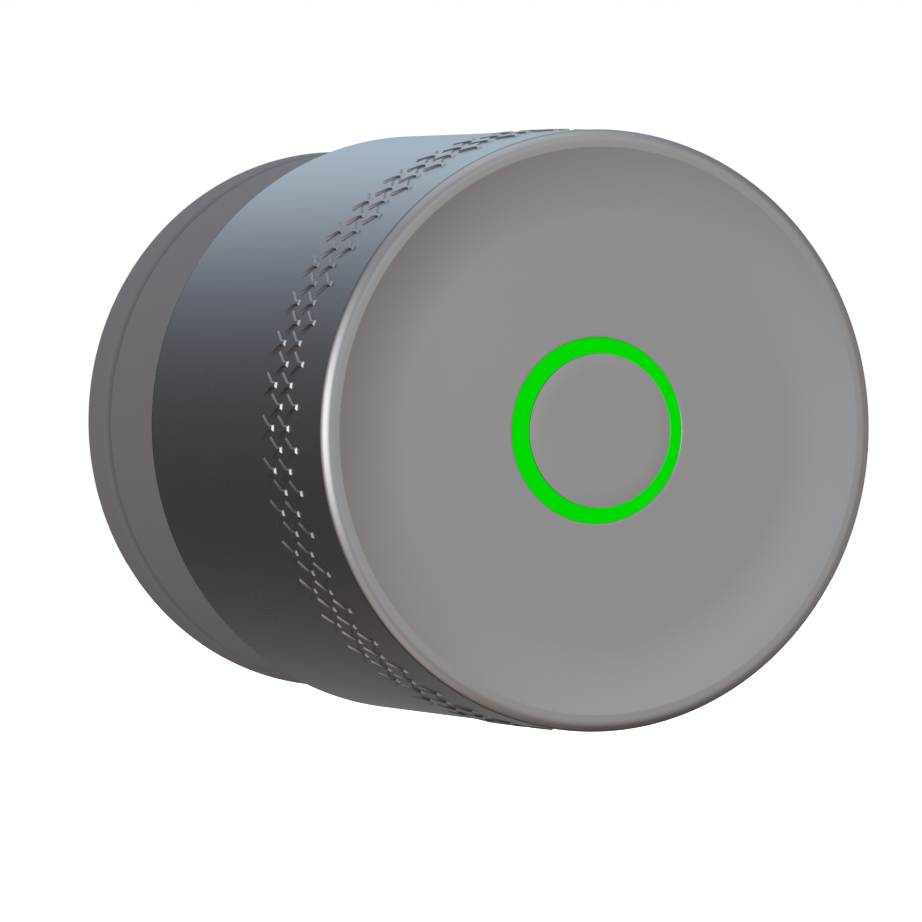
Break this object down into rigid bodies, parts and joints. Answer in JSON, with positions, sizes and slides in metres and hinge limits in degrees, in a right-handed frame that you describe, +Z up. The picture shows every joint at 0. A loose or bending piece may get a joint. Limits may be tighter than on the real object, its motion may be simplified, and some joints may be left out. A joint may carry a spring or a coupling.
{
  "type": "battery powered door lock knob",
  "caption": "Round motorised door lock knob: knurled metal grip sleeve, hollow front with a push button in a lit ring, matte collars and a still base.",
  "frame": {"origin": "centre of the socket for the lock cylinder, in the plane of the door face", "axes": "the knob's axis is Y: +Y points into the door, -Y out to the front; +Z is up, +X is to the right of someone facing the front"},
  "size_m": [0.0454, 0.0513, 0.0454],
  "materials": {
    "anodised_aluminium": "satin anodised",
    "matte_collar_plastic": "matte",
    "dark_plastic": "moulded",
    "white_plastic": "moulded",
    "green_light_guide": "lit, translucent",
    "zinc": "die cast",
    "steel": "machined",
    "brass": "machined",
    "magnet": "sintered",
    "rubber": "matte",
    "foam": "foam",
    "circuit_board": "solder mask",
    "chip": "moulded",
    "cell_wrap": "film"
  },
  "bodies": {
    "base": {"base_collar": "matte_collar_plastic", "base_plate": "zinc", "door_gasket": "rubber", "race_ring": "steel", "fixed_gear": "steel", "angle_magnet": "magnet", "grub_screw_1": "steel", "grub_screw_2": "steel", "race_screw_1": "steel", "race_screw_2": "steel", "race_screw_3": "steel"},
    "knob": {"glide_ring": "white_plastic", "antenna_collar": "matte_collar_plastic", "grip_sleeve": "anodised_aluminium", "sleeve_seal": "rubber", "front_cover": "anodised_aluminium", "light_ring": "green_light_guide", "chassis": "dark_plastic", "spindle_coupler": "steel", "gearbox_plate": "brass", "gearbox_post_1": "brass", "gearbox_post_2": "brass", "gearbox_post_3": "brass", "motor_gearhead": "steel", "motor_can": "steel", "motor_end_cap": "white_plastic", "battery_tray": "dark_plastic", "battery_cell_1": "cell_wrap", "battery_cell_2": "cell_wrap", "battery_cushion": "foam", "main_board": "circuit_board", "radio_module": "chip", "motor_driver": "chip", "battery_connector": "white_plastic", "antenna_board": "circuit_board", "antenna_chip": "white_plastic", "angle_sensor": "chip", "charge_port": "steel", "front_board": "circuit_board", "status_led_1": "white_plastic", "status_led_2": "white_plastic", "status_led_3": "white_plastic", "status_led_4": "white_plastic", "status_led_5": "white_plastic", "status_led_6": "white_plastic", "switch_body": "chip", "standoff_1": "brass", "standoff_2": "brass", "standoff_3": "brass", "standoff_4": "brass", "board_screw_1": "steel", "board_screw_2": "steel", "board_screw_3": "steel", "board_screw_4": "steel"},
    "transfer": {"transfer_gear": "steel"},
    "drive": {"drive_gear": "brass"},
    "button": {"button_cap": "anodised_aluminium", "switch_plunger": "white_plastic"}
  },
  "joints": [
    {"name": "knob_turn", "type": "hinge", "parent": "base", "child": "knob", "pos_m": [0, 0, 0], "axis": [0, -1, 0], "continuous": true},
    {"name": "transfer_spin", "type": "hinge", "parent": "knob", "child": "transfer", "pos_m": [-0.01016, 0, -0.00821], "axis": [0, -1, 0], "continuous": true},
    {"name": "drive_spin", "type": "hinge", "parent": "knob", "child": "drive", "pos_m": [-0.0126, 0, 0], "axis": [0, -1, 0], "continuous": true},
    {"name": "button_press", "type": "slide", "parent": "knob", "child": "button", "axis": [0, 1, 0], "range_m": [0, 0.00035], "stiffness_N_per_m": 6000}
  ],
  "couplings": [
    {"joint": "transfer_spin", "follows": "knob_turn", "ratio": 3.3333},
    {"joint": "drive_spin", "follows": "knob_turn", "ratio": -8}
  ]
}
